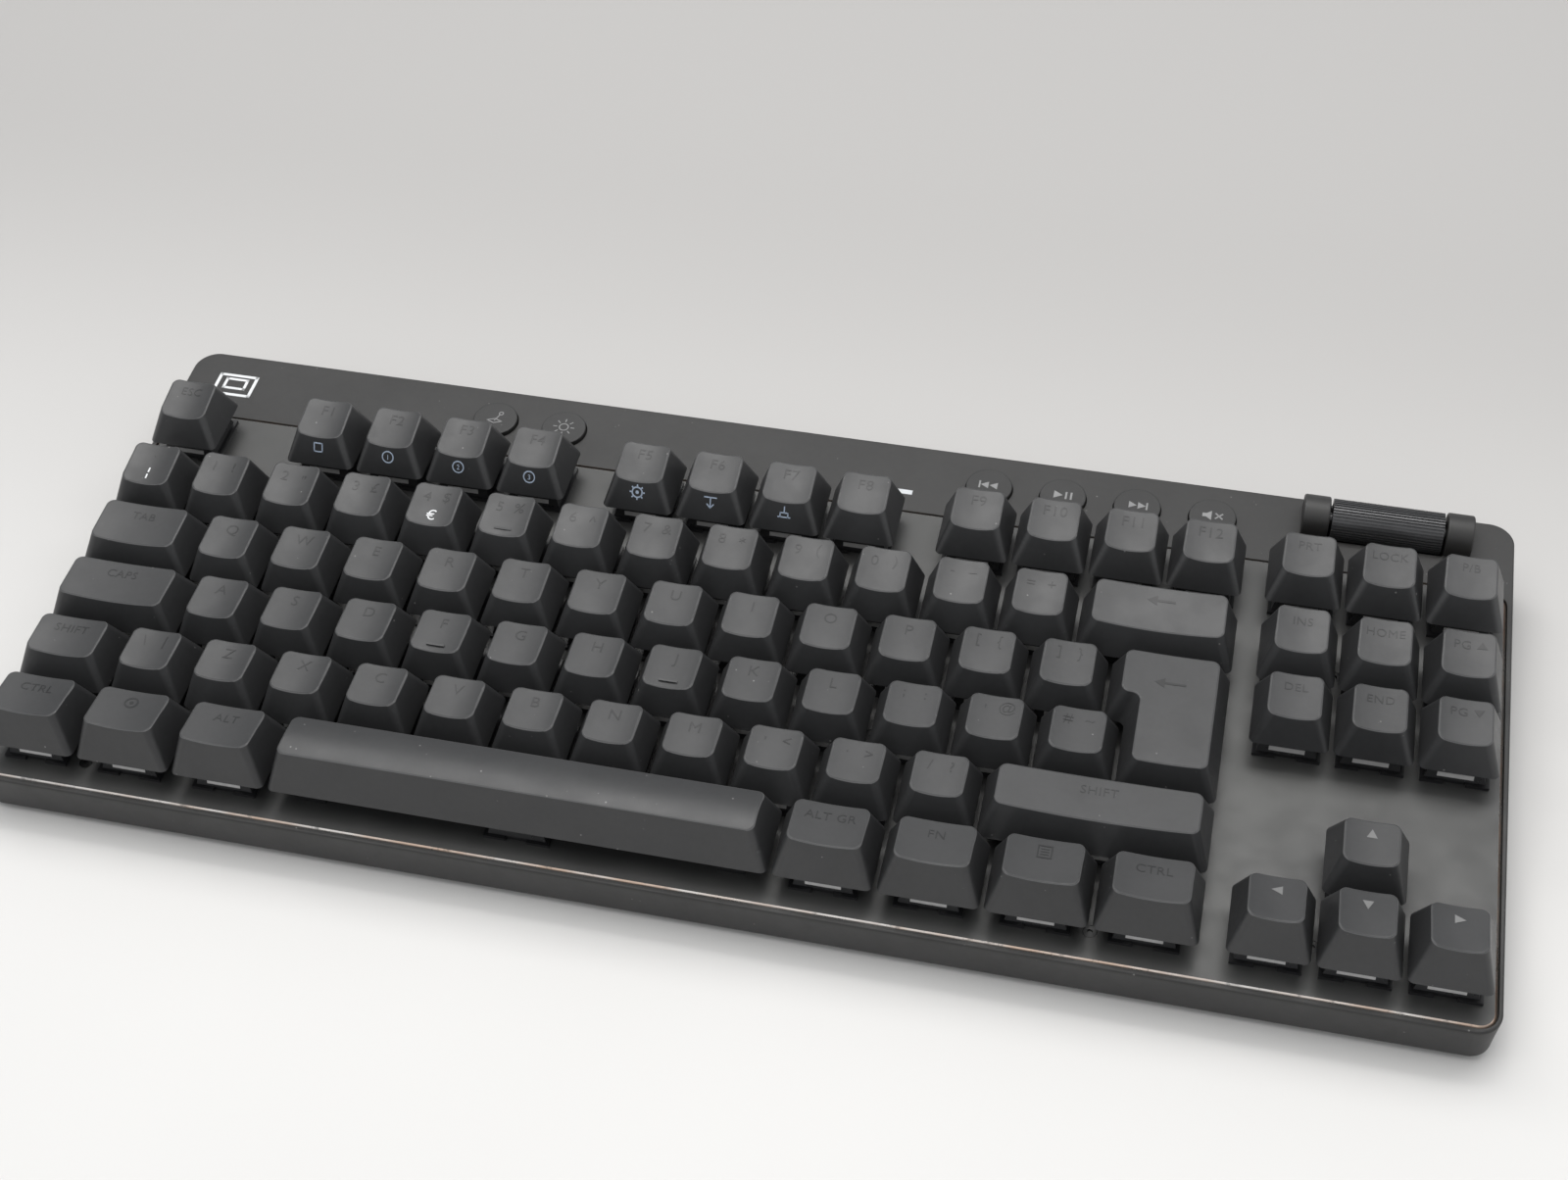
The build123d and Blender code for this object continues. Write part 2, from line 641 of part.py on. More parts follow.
with BuildPart() as charging_port:
    with BuildSketch(Plane.XZ.offset(-66.2)):
        with Locations((PORT_X, PORT_Z)):
            RectangleRounded(9.0, 3.2, 1.5)
            RectangleRounded(8.4, 2.6, 1.2, mode=Mode.SUBTRACT)
    extrude(amount=-6.8)
    with BuildSketch(Plane.XZ.offset(-66.2)):
        with Locations((PORT_X, PORT_Z)):
            RectangleRounded(9.0, 3.2, 1.5)
    extrude(amount=-1.0)
    with BuildSketch(Plane.XZ.offset(-66.2)):
        with Locations((PORT_X, PORT_Z)):
            Rectangle(6.6, 0.7)
    extrude(amount=-6.0)
    # small board the inlet is soldered to, on its own post from the case floor
    with BuildSketch(Plane.XY.offset(PORT_Z - 2.6)):
        with Locations((PORT_X, 64.5)):
            Rectangle(13, 9)
    extrude(amount=1.0)
charging_port.part.label = "charging_port"
export_step(charging_port.part, "parts/charging_port.step")

with BuildPart() as indicator_lens:
    with BuildSketch(DECK.offset(-0.05)):
        with Locations((LENS_X, LENS_Y)):
            Rectangle(4.9, 1.5)
    extrude(amount=-2.4)
    with BuildSketch(DECK.offset(-DECK_T - 0.02)):
        with Locations((LENS_X, LENS_Y)):
            Rectangle(6.2, 2.8)
    extrude(amount=-0.8)
indicator_lens.part.label = "indicator_lens"
export_step(indicator_lens.part, "parts/indicator_lens.step")

with BuildPart() as button_boards:
    with BuildSketch(DECK.offset(-5.6)):
        with Locations((key_x(5.0), 121.0)):
            Rectangle(44, 14)
        with Locations((key_x(13.0), 121.0)):
            Rectangle(78, 14)
    extrude(amount=-1.0)
    with BuildSketch(DECK.offset(-5.6)):
        with Locations(*[(x, BUTTON_Y) for x in BUTTONS.values()]):
            Rectangle(4, 4)
    extrude(amount=0.7)
button_boards.part.label = "button_boards"
export_step(button_boards.part, "parts/button_boards.step")

# ---- the round buttons on the deck ----
for name, x in BUTTONS.items():
    with BuildPart() as button:
        with BuildSketch(DECK.offset(-DECK_T - 0.2)):
            with Locations((x, BUTTON_Y)):
                Circle(BUTTON_R)
        extrude(amount=DECK_T + 0.2 + 1.2)
        crown_edge = button.edges().sort_by(Axis(DECK.origin, DECK.z_dir))[-1]
        fillet(crown_edge, 0.3)
        with BuildSketch(DECK.offset(-DECK_T - 0.2)):
            with Locations((x, BUTTON_Y)):
                Circle(6.9)
        extrude(amount=-0.8)
        with BuildSketch(DECK.offset(-DECK_T - 1.0)):
            with Locations((x, BUTTON_Y)):
                Circle(1.2)
        extrude(amount=-0.6)
    button.part.label = name
    export_step(button.part, "parts/" + name + ".step")


# ---- the volume roller between its two shoulders ----
def side_plane(x):
    """Upright plane across the deck at x, drawn in deck y and deck z."""
    return Plane(origin=(x, DECK_Y, DECK_Z), x_dir=(0, cos_t, sin_t), z_dir=(1, 0, 0))


RIBS = 40
with BuildPart() as volume_roller:
    with BuildSketch(side_plane(ROLLER_X - ROLLER_L / 2)):
        with Locations((ROLLER_Y, ROLLER_Z)):
            Circle(ROLLER_R)
            with PolarLocations(ROLLER_R + 0.02, RIBS):
                Rectangle(0.8, 0.42, mode=Mode.SUBTRACT)
    extrude(amount=ROLLER_L)
    with BuildSketch(side_plane(ROLLER_X - ROLLER_L / 2 - 4.2)):
        with Locations((ROLLER_Y, ROLLER_Z)):
            Circle(AXLE_R)
    extrude(amount=ROLLER_L + 4.2 + 5.0)
volume_roller.part.label = "volume_roller"
export_step(volume_roller.part, "parts/volume_roller.step")

with BuildPart() as roller_brackets:
    for start in (ROLLER_X - SLOT_HALF - BRACKET_W, ROLLER_X + SLOT_HALF):
        with BuildSketch(side_plane(start)):
            with Locations((ROLLER_Y, ROLLER_Z)):
                Circle(BRACKET_R)
            with Locations((ROLLER_Y, ROLLER_Z / 2)):
                Rectangle(2 * BRACKET_R, ROLLER_Z)
            with Locations((ROLLER_Y, -10)):
                Rectangle(30, 20, mode=Mode.SUBTRACT)
        extrude(amount=BRACKET_W)
    curved = roller_brackets.edges().filter_by(GeomType.CIRCLE)
    fillet(curved, 0.5)
    with BuildSketch(side_plane(ROLLER_X - SLOT_HALF - 4.5)):
        with Locations((ROLLER_Y, ROLLER_Z)):
            Circle(AXLE_R + 0.05)
    extrude(amount=2 * SLOT_HALF + 4.5 + 2, mode=Mode.SUBTRACT)
    # pocket for the rotary encoder in the right shoulder
    with BuildSketch(side_plane(ROLLER_X + SLOT_HALF + 1.6)):
        with Locations((ROLLER_Y, 2.5)):
            Rectangle(7.2, 5.0)
    extrude(amount=3.8, mode=Mode.SUBTRACT)
roller_brackets.part.label = "roller_brackets"
export_step(roller_brackets.part, "parts/roller_brackets.step")

with BuildPart() as roller_encoder:
    with BuildSketch(side_plane(ROLLER_X + SLOT_HALF + 1.7)):
        with Locations((ROLLER_Y, 2.45)):
            Rectangle(7.0, 4.8)
        with Locations((ROLLER_Y, ROLLER_Z)):
            Circle(AXLE_R + 0.05, mode=Mode.SUBTRACT)
    extrude(amount=3.6)
roller_encoder.part.label = "roller_encoder"
export_step(roller_encoder.part, "parts/roller_encoder.step")

# ---- power switch and fold-out feet ----
with BuildPart() as power_switch:
    with BuildSketch(Plane.XZ.offset(-70.5)):
        with Locations((SWITCH_X - 2, PORT_Z)):
            Rectangle(4.4, 2.8)
    extrude(amount=-3.4)
    with BuildSketch(Plane.XZ.offset(-69.4)):
        with Locations((SWITCH_X - 2, PORT_Z)):
            Rectangle(7.0, 5.0)
    extrude(amount=-1.1)
power_switch.part.label = "power_switch"
export_step(power_switch.part, "parts/power_switch.step")

for name, x in (("left_tilt_foot", -PIVOT_X), ("right_tilt_foot", PIVOT_X)):
    with BuildPart() as foot:
        with BuildSketch(Plane.YZ.offset(x)):
            with Locations((PIVOT_Y, PIVOT_Z)):
                Circle(1.9)
            with Locations((PIVOT_Y + FOOT_L / 2, PIVOT_Z - 0.4)):
                Rectangle(FOOT_L, 3.0)
        extrude(amount=FOOT_W / 2, both=True)
        tip = foot.edges().filter_by(Axis.X).sort_by(Axis.Y)[-2:]
        fillet(tip, 1.2)
        with BuildSketch(Plane.YZ.offset(x)):
            with Locations((PIVOT_Y, PIVOT_Z)):
                Circle(1.2)
        extrude(amount=FOOT_W / 2 + 1.4, both=True)
    foot.part.label = name
    export_step(foot.part, "parts/" + name + ".step")
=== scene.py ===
import bpy
import json
import math
import random
from mathutils import Matrix, Vector
from mathutils.bvhtree import BVHTree


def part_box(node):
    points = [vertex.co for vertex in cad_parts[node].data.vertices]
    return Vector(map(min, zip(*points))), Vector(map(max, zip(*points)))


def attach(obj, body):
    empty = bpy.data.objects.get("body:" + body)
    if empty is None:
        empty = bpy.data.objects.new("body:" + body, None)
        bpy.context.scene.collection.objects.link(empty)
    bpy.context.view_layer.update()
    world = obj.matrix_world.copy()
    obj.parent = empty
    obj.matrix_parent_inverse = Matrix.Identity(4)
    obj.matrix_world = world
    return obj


MM = 0.001
PITCH = 19.05 * MM
CAP_EDGE = 9.05 * MM  # from a one-unit cap's centre to its skirt

# the camera solved from the corners of the caps: focal length in pixels, place in metres, two directions
IMAGE_W = 1600.0
SENSOR_MM = 36.0
FOCAL_PIXELS = 2308.04
CAMERA_PLACE = (0.09486, -0.35923, 0.42430)
CAMERA_LOOK = (-0.16704, 0.67073, -0.72265)
CAMERA_RIGHT = (0.97552, 0.21878, -0.02244)

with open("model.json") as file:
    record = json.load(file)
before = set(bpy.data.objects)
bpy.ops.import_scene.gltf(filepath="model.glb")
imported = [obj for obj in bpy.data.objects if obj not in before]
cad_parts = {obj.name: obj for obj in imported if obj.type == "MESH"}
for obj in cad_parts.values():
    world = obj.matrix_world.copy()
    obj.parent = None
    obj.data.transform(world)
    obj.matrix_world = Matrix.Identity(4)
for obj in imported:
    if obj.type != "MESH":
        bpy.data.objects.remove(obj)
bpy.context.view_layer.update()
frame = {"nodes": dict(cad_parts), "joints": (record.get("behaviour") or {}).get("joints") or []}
random.seed(7)

SLIDES = [j for j in frame["joints"] if j["name"] == "key_space_press"]
PRESS = Vector(SLIDES[0]["axis"]).normalized()  # into the deck
DECK_UP = -PRESS
DECK_BACK = Vector((0, DECK_UP.z, -DECK_UP.y))  # up the slope, away from the typist
RIGHT = Vector((1, 0, 0))


# ---- camera, floor and lights ----
FLOOR_HALF = 4.0


def make_camera():
    """The photograph's viewpoint: from the right of centre, looking down and a little to the left."""
    data = bpy.data.cameras.new("camera")
    data.sensor_width = SENSOR_MM
    data.lens = FOCAL_PIXELS / IMAGE_W * SENSOR_MM
    data.clip_start, data.clip_end = 0.01, 20.0
    camera = bpy.data.objects.new("camera", data)
    bpy.context.scene.collection.objects.link(camera)
    look = Vector(CAMERA_LOOK).normalized()
    right = Vector(CAMERA_RIGHT).normalized()
    up = right.cross(look).normalized()
    turn = Matrix((right, up, -look)).transposed().to_4x4()
    camera.matrix_world = Matrix.Translation(CAMERA_PLACE) @ turn
    bpy.context.scene.camera = camera


def area_light(name, place, target, size, power, colour=(1, 1, 1)):
    data = bpy.data.lights.new(name, "AREA")
    data.shape = "RECTANGLE"
    data.size, data.size_y = size
    data.energy = power
    data.color = colour
    light = bpy.data.objects.new(name, data)
    bpy.context.scene.collection.objects.link(light)
    light.location = place
    light.rotation_euler = (Vector(target) - Vector(place)).to_track_quat("-Z", "Y").to_euler()


def make_stage():
    """A pale floor, with painted shade that darkens it towards the back, and soft light from above and
    behind.
    """
    scene = bpy.context.scene
    scene.view_settings.view_transform = "Standard"
    world = bpy.data.worlds.new("studio")
    world.use_nodes = True
    sky = world.node_tree.nodes["Background"]
    sky.inputs["Color"].default_value = (0.93, 0.96, 1.0, 1)
    sky.inputs["Strength"].default_value = 0.5
    scene.world = world

    mesh = bpy.data.meshes.new("floor")
    far = FLOOR_HALF
    mesh.from_pydata([(-far, -far, 0), (far, -far, 0), (far, far, 0), (-far, far, 0)], [], [(0, 1, 2, 3)])
    floor = bpy.data.objects.new("floor", mesh)
    scene.collection.objects.link(floor)
    floor.data.materials.append(paper_material())

    area_light("overhead", (-0.30, 0.05, 1.4), (0.0, 0.0, 0.0), (1.5, 0.9), 10.8, (1.0, 0.99, 0.97))
    area_light("rear_top", (0.05, 0.36, 0.8), (0.03, -0.02, 0.0), (1.3, 0.3), 4.4, (1.0, 0.99, 0.98))
    area_light("right_fill", (1.1, 0.05, 0.45), (0.1, 0.0, 0.0), (0.5, 0.7), 1.2, (1.0, 0.98, 0.95))
    area_light("front_fill", (-0.3, -1.5, 1.2), (0.0, 0.0, 0.0), (1.8, 1.0), 3.2, (1.0, 0.985, 0.97))


# ---- materials ----
class Nodes:
    """A small helper for building one material's node tree."""

    def __init__(self, name):
        self.material = bpy.data.materials.new(name)
        self.material.use_nodes = True
        self.tree = self.material.node_tree
        self.shader = self.tree.nodes["Principled BSDF"]
        self.coords = self.tree.nodes.new("ShaderNodeTexCoord")

    def add(self, kind, **settings):
        node = self.tree.nodes.new(kind)
        for key, value in settings.items():
            setattr(node, key, value)
        return node

    def link(self, source, target):
        self.tree.links.new(source, target)

    def noise(self, scale, detail=3.0, rough=0.55):
        node = self.add("ShaderNodeTexNoise")
        node.inputs["Scale"].default_value = scale
        node.inputs["Detail"].default_value = detail
        node.inputs["Roughness"].default_value = rough
        self.link(self.coords.outputs["Object"], node.inputs["Vector"])
        return node.outputs["Fac"]

    def spread(self, value, low, high, out_low, out_high, smooth=False):
        node = self.add("ShaderNodeMapRange")
        if smooth:
            node.interpolation_type = "SMOOTHSTEP"
        node.inputs["From Min"].default_value = low
        node.inputs["From Max"].default_value = high
        node.inputs["To Min"].default_value = out_low
        node.inputs["To Max"].default_value = out_high
        self.link(value, node.inputs["Value"])
        return node.outputs["Result"]

    def math(self, operation, a, b):
        node = self.add("ShaderNodeMath", operation=operation)
        for socket, value in zip(node.inputs, (a, b)):
            if isinstance(value, (int, float)):
                socket.default_value = value
            else:
                self.link(value, socket)
        return node.outputs["Value"]

    def mix(self, factor, a, b):
        node = self.add("ShaderNodeMix", data_type="RGBA")
        self.link(factor, node.inputs["Factor"])
        colours = [s for s in node.inputs if s.type == "RGBA"]
        for socket, value in zip(colours, (a, b)):
            if isinstance(value, tuple):
                socket.default_value = (*value, 1)
            else:
                self.link(value, socket)
        return [s for s in node.outputs if s.type == "RGBA"][0]

    def bump(self, height, strength, distance):
        node = self.add("ShaderNodeBump")
        node.inputs["Strength"].default_value = strength
        node.inputs["Distance"].default_value = distance
        self.link(height, node.inputs["Height"])
        self.link(node.outputs["Normal"], self.shader.inputs["Normal"])
        return node

    def lean(self):
        """1 where the surface faces straight out of the deck, 0 on upright walls."""
        geometry = self.add("ShaderNodeNewGeometry")
        dot = self.add("ShaderNodeVectorMath", operation="DOT_PRODUCT")
        self.link(geometry.outputs["Normal"], dot.inputs[0])
        dot.inputs[1].default_value = DECK_UP
        return dot.outputs["Value"]


def tone(colour, factor):
    return tuple(min(1.0, c * factor) for c in colour)


def surface(name, colour, roughness, metallic=0.0, grain=(2500, 0.12, 0.00004), mottle=0.18, dust=0.0,
            specular=0.5, sheen=0.0, painted_edge_highlight=0.0):
    """Plastic, rubber or metal: uneven colour and gloss, a fine grain, optional dust and a painted
    highlight that lightens rounded edges.
    """
    n = Nodes(name)
    broad = n.noise(38.0)
    fine = n.noise(700.0, 4.0)
    patch = n.math("ADD", n.math("MULTIPLY", broad, 0.65), n.math("MULTIPLY", fine, 0.35))
    value = n.spread(patch, 0.3, 0.7, 0.0, 1.0)
    base = n.mix(value, tone(colour, 1 - mottle), tone(colour, 1 + mottle))
    if dust > 0:
        voronoi = n.add("ShaderNodeTexVoronoi")
        voronoi.inputs["Scale"].default_value = 330.0
        n.link(n.coords.outputs["Object"], voronoi.inputs["Vector"])
        speck = n.spread(voronoi.outputs["Distance"], 0.05, 0.09, 1.0, 0.0)
        chance = n.spread(n.noise(210.0, 2.0), 0.55, 0.62, 0.0, 1.0)
        amount = n.math("MULTIPLY", n.math("MULTIPLY", speck, chance), dust)
        base = n.mix(amount, base, (0.32, 0.31, 0.3))
    # painted highlight: the rounded edges between a face and its walls are mixed towards pale grey,
    # standing in for light caught on the fillets
    if painted_edge_highlight > 0:
        lean = n.lean()
        painted_highlight_mask = n.math("MULTIPLY", n.spread(lean, 0.5, 0.62, 0.0, 1.0), n.spread(lean, 0.80, 0.92, 1.0, 0.0))
        base = n.mix(n.math("MULTIPLY", painted_highlight_mask, painted_edge_highlight), base, (0.16, 0.16, 0.16))
    n.link(base, n.shader.inputs["Base Color"])
    smear = n.spread(n.noise(90.0, 5.0, 0.65), 0.3, 0.7, roughness - 0.07, roughness + 0.06)
    n.link(smear, n.shader.inputs["Roughness"])
    n.shader.inputs["Metallic"].default_value = metallic
    n.shader.inputs["Specular IOR Level"].default_value = specular
    if sheen > 0:
        n.shader.inputs["Sheen Weight"].default_value = sheen
    scale, strength, distance = grain
    n.bump(n.noise(scale, 2.0), strength, distance)
    return n.material


def paper_material():
    n = Nodes("floor_paper")
    value = n.spread(n.noise(3.0), 0.3, 0.7, 0.0, 1.0)
    paper = n.mix(value, (0.71, 0.70, 0.685), (0.75, 0.74, 0.725))
    split = n.add("ShaderNodeSeparateXYZ")
    n.link(n.coords.outputs["Object"], split.inputs["Vector"])
    # painted shade: the paper is mixed towards a darker grey from front to back, standing in for light
    # falling off behind the keyboard
    painted_shade = n.spread(split.outputs["Y"], -0.12, 0.21, 0.0, 1.0, True)
    n.link(n.mix(painted_shade, paper, (0.43, 0.42, 0.41)), n.shader.inputs["Base Color"])
    n.shader.inputs["Roughness"].default_value = 0.85
    n.bump(n.noise(900.0, 3.0), 0.08, 0.0001)
    return n.material


def plate_material():
    """Dark anodised sheet whose cut chamfer is bare, bright and nicked."""
    n = Nodes("anodised_plate")
    lean = n.lean()
    bevel = n.math("MULTIPLY", n.spread(lean, 0.4, 0.5, 0.0, 1.0), n.spread(lean, 0.9, 0.97, 1.0, 0.0))
    wear = n.spread(n.noise(260.0, 5.0, 0.7), 0.34, 0.44, 0.45, 1.0)
    bright = n.math("MULTIPLY", bevel, wear)
    broad = n.spread(n.noise(26.0, 4.0), 0.3, 0.7, 0.0, 1.0)
    dark = n.mix(broad, (0.068, 0.068, 0.067), (0.086, 0.086, 0.084))
    bare = n.mix(n.spread(n.noise(60.0, 3.0), 0.4, 0.6, 0.0, 1.0), (0.80, 0.76, 0.72), (0.72, 0.55, 0.44))
    n.link(n.mix(bright, dark, bare), n.shader.inputs["Base Color"])
    n.link(n.spread(bright, 0.0, 1.0, 0.6, 0.95), n.shader.inputs["Metallic"])
    smear = n.spread(n.noise(120.0, 5.0, 0.6), 0.3, 0.7, 0.38, 0.52)
    n.link(n.math("SUBTRACT", smear, n.math("MULTIPLY", bright, 0.15)), n.shader.inputs["Roughness"])
    n.bump(n.noise(3000.0, 2.0), 0.08, 0.00003)
    return n.material


def dress(node, material):
    """Gives a CAD node a finished material in place of its packed one."""
    slots = frame["nodes"][node].material_slots
    if not slots:
        frame["nodes"][node].data.materials.append(material)
    for entry in frame["nodes"][node].material_slots:
        entry.material = material


def dress_all():
    # the caps carry dust and a painted highlight on their rounded edges
    caps = surface("cap_plastic", (0.030, 0.0303, 0.0312), 0.42, grain=(1800, 0.16, 0.00005), dust=0.5,
                   painted_edge_highlight=0.5)
    case = surface("case_plastic", (0.029, 0.0285, 0.0285), 0.5, grain=(2600, 0.25, 0.00005), dust=0.3)
    rim = surface("frame_plastic", (0.022, 0.0213, 0.0205), 0.5, grain=(3200, 0.25, 0.00004), dust=0.5)
    knob = surface("button_plastic", (0.020, 0.0197, 0.0193), 0.5, grain=(2600, 0.15, 0.00003), dust=0.3)
    black = surface("housing_black", (0.012, 0.012, 0.013), 0.35, grain=(1500, 0.1, 0.00003))
    smoke = surface("housing_smoke", (0.03, 0.03, 0.031), 0.3, grain=(1500, 0.08, 0.00003))
    rubber = surface("pad_rubber", (0.018, 0.018, 0.018), 0.75, grain=(1200, 0.4, 0.00008), sheen=0.2)
    steel = surface("screw_steel", (0.55, 0.54, 0.53), 0.32, metallic=1.0, grain=(900, 0.1, 0.00003))
    oxide = surface("screw_black", (0.05, 0.05, 0.05), 0.35, metallic=0.9, grain=(900, 0.1, 0.00003))
    port = surface("port_steel", (0.45, 0.45, 0.46), 0.3, metallic=1.0, grain=(900, 0.1, 0.00003))
    roller = surface("roller_metal", (0.085, 0.085, 0.087), 0.38, metallic=0.5, grain=(1600, 0.12, 0.00003))
    board = surface("board_green", (0.01, 0.035, 0.02), 0.4)
    foam = surface("foam_grey", (0.05, 0.05, 0.05), 0.95, grain=(700, 0.8, 0.0002))
    wrap = surface("battery_wrap", (0.1, 0.1, 0.12), 0.3)
    lens = surface("lens_frosted", (0.62, 0.64, 0.66), 0.3, grain=(1500, 0.1, 0.00003))
    for node in frame["nodes"]:
        if node.startswith("key"):
            dress(node, caps)
        elif node.endswith("_button") or node == "power_switch":
            dress(node, knob)
    plate = plate_material()
    for node, material in {
        "bottom_case": case, "left_tilt_foot": case, "right_tilt_foot": case, "top_frame": rim,
        "roller_brackets": rim, "switch_plate": plate, "switch_bases": black, "stabiliser_housings": black,
        "roller_encoder": black, "switch_covers": smoke, "rubber_feet": rubber, "case_screws": steel,
        "plate_screws": oxide, "charging_port": port, "volume_roller": roller, "circuit_board": board,
        "button_boards": board, "damping_sheet": foam, "battery_pack": wrap, "indicator_lens": lens,
    }.items():
        dress(node, material)


# ---- flat shapes, each a thin closed prism in its own x, y, z ----
def prism(outline, thick):
    """Verts and faces of one outline given counter-clockwise, from -thick to +thick."""
    count = len(outline)
    verts = [(x, y, z) for z in (-thick, thick) for x, y in outline]
    faces = [tuple(reversed(range(count))), tuple(range(count, 2 * count))]
    for i in range(count):
        j = (i + 1) % count
        faces.append((i, j, count + j, count + i))
    return verts, faces


def stroke(x0, y0, x1, y1, width):
    along = Vector((x1 - x0, y1 - y0)).normalized() * (width / 2)
    side = Vector((-along.y, along.x))
    a, b = Vector((x0, y0)) - along, Vector((x1, y1)) + along
    return [tuple(a - side), tuple(b - side), tuple(b + side), tuple(a + side)]


def round_points(x, y, radius, count, start=0.0):
    turns = [start + 2 * math.pi * i / count for i in range(count)]
    return [(x + radius * math.cos(t), y + radius * math.sin(t)) for t in turns]


def hoop(x, y, radius, width, count=24):
    """Outlines of the short strokes that make a ring."""
    outer = round_points(x, y, radius + width / 2, count)
    inner = round_points(x, y, radius - width / 2, count)
    return [[outer[i], outer[(i + 1) % count], inner[(i + 1) % count], inner[i]] for i in range(count)]


def boxed(x, y, half_w, half_h, width):
    """A rectangular outline drawn with four strokes."""
    left, right, low, high = x - half_w, x + half_w, y - half_h, y + half_h
    return [stroke(left, low, right, low, width), stroke(right, low, right, high, width),
            stroke(right, high, left, high, width), stroke(left, high, left, low, width)]


def arrow(length, head, width, left=True):
    """A bar with a solid head at one end."""
    sign = -1 if left else 1
    tip, neck = sign * length / 2, sign * (length / 2 - head)
    points = [(tip, 0), (neck, head * 0.6), (neck, -head * 0.6)]
    return [points if left else points[::-1], stroke(neck, 0, -tip, 0, width)]


def swing(outlines, angle):
    """Turns outlines about their own origin."""
    c, s = math.cos(angle), math.sin(angle)
    return [[(x * c - y * s, x * s + y * c) for x, y in outline] for outline in outlines]


class Relief:
    """Small raised shapes gathered into one mesh and laid onto the surface of a CAD node."""

    def __init__(self, name, node):
        self.name = name
        self.node = node
        self.verts, self.faces = [], []
        mesh = frame["nodes"][node].data
        corners = [v.co for v in mesh.vertices]
        self.tree = BVHTree.FromPolygons(corners, [p.vertices[:] for p in mesh.polygons])

    def put(self, shape, centre, across, up, inward, reach=0.03):
        """Lays one shape on the surface met from reach in front of the centre, looking inward."""
        verts, faces = shape
        start = len(self.verts)
        for x, y, z in verts:
            spot = centre + across * x + up * y
            hit = self.tree.ray_cast(spot - inward * reach, inward)
            surface_point = hit[0] if hit[0] is not None else self.tree.find_nearest(spot)[0]
            self.verts.append(surface_point - inward * z)
        self.faces += [tuple(start + i for i in face) for face in faces]

    def put_all(self, outlines, thick, centre, across, up, inward, reach=0.03):
        for outline in outlines:
            shape = prism([(x * MM, y * MM) for x, y in outline], thick * MM)
            self.put(shape, centre, across, up, inward, reach)

    def finish(self, material, body):
        mesh = bpy.data.meshes.new(self.name)
        mesh.from_pydata(self.verts, [], self.faces)
        mesh.validate()
        piece = bpy.data.objects.new(self.name, mesh)
        bpy.context.scene.collection.objects.link(piece)
        mesh.materials.append(material)
        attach(piece, body)
        return piece


GLYPHS = {}


def glyph(text, height, thick):
    """A word or sign in a plain sans face as a closed prism, centred on its own middle."""
    key = (text, height, thick)
    if key not in GLYPHS:
        curve = bpy.data.curves.new("glyph", "FONT")
        curve.body = text
        curve.size = height * MM / CAPITAL
        curve.extrude = thick * MM
        curve.resolution_u = 3
        curve.space_character = 1.06
        holder = bpy.data.objects.new("glyph", curve)
        mesh = bpy.data.meshes.new_from_object(holder)
        verts = [tuple(v.co) for v in mesh.vertices]
        mid = (min(v[0] for v in verts) + max(v[0] for v in verts)) / 2
        # letters and digits share one baseline, other signs are centred on their own height
        if text.isalnum():
            drop = height * MM / 2
        else:
            drop = (min(v[1] for v in verts) + max(v[1] for v in verts)) / 2
        faces = [tuple(p.vertices) for p in mesh.polygons]
        GLYPHS[key] = ([(x - mid, y - drop, z) for x, y, z in verts], faces)
        bpy.data.objects.remove(holder)
        bpy.data.curves.remove(curve)
        bpy.data.meshes.remove(mesh)
    return GLYPHS[key]


# ---- key legends ----
BANK_LEGENDS = {
    "keys_f1_to_f4": "F1 F2 F3 F4", "keys_f5_to_f8": "F5 F6 F7 F8", "keys_f9_to_f12": "F9 F10 F11 F12",
    "keys_grave_to_5": "` 1! 2\" 3£ 4$ 5%", "keys_6_to_equals": "6^ 7& 8* 9( 0) -_ =+",
    "keys_q_to_t": "Q W E R T", "keys_y_to_bracket": "Y U I O P [{ ]}",
    "keys_a_to_g": "A S D F G", "keys_h_to_hash": "H J K L ;: '@ #~",
    "keys_backslash_to_b": "\\| Z X C V B", "keys_n_to_slash": "N M ,< .> /?",
    "keys_print_to_pause": "PRT LOCK P/B", "keys_insert_to_page_up": "INS HOME PG+",
    "keys_delete_to_page_down": "DEL END PG-",
}
KEY_WORDS = {
    "key_escape": "ESC", "key_tab": "TAB", "key_caps_lock": "CAPS", "key_left_shift": "SHIFT",
    "key_right_shift": "SHIFT", "key_left_ctrl": "CTRL", "key_right_ctrl": "CTRL", "key_left_alt": "ALT",
    "key_alt_gr": "ALT GR", "key_fn": "FN",
}
KEY_ARROWS = {"key_up": -90, "key_left": 0, "key_down": 90, "key_right": 180}
LEGEND_BACK = 3.3 * MM  # legends sit behind the middle of each cap
THICK = 0.05  # half the thickness of a legend, in mm
PRINT = 0.03  # the same for printed signs
CAPITAL = 0.73  # height of a capital letter over the font size


def cap_centre(node, index=0, count=1):
    """The middle of a cap's skirt, for one cap of a bank or a cap on its own."""
    low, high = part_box(node)
    x = (low.x + high.x) / 2 if count == 1 else low.x + CAP_EDGE + index * PITCH
    return Vector((x, (low.y + high.y) / 2, low.z + (high.y - low.y) / 2 * DECK_BACK.z))


def put_word(relief, text, spot, height):
    relief.put(glyph(text, height, THICK), spot, RIGHT, DECK_BACK, PRESS)


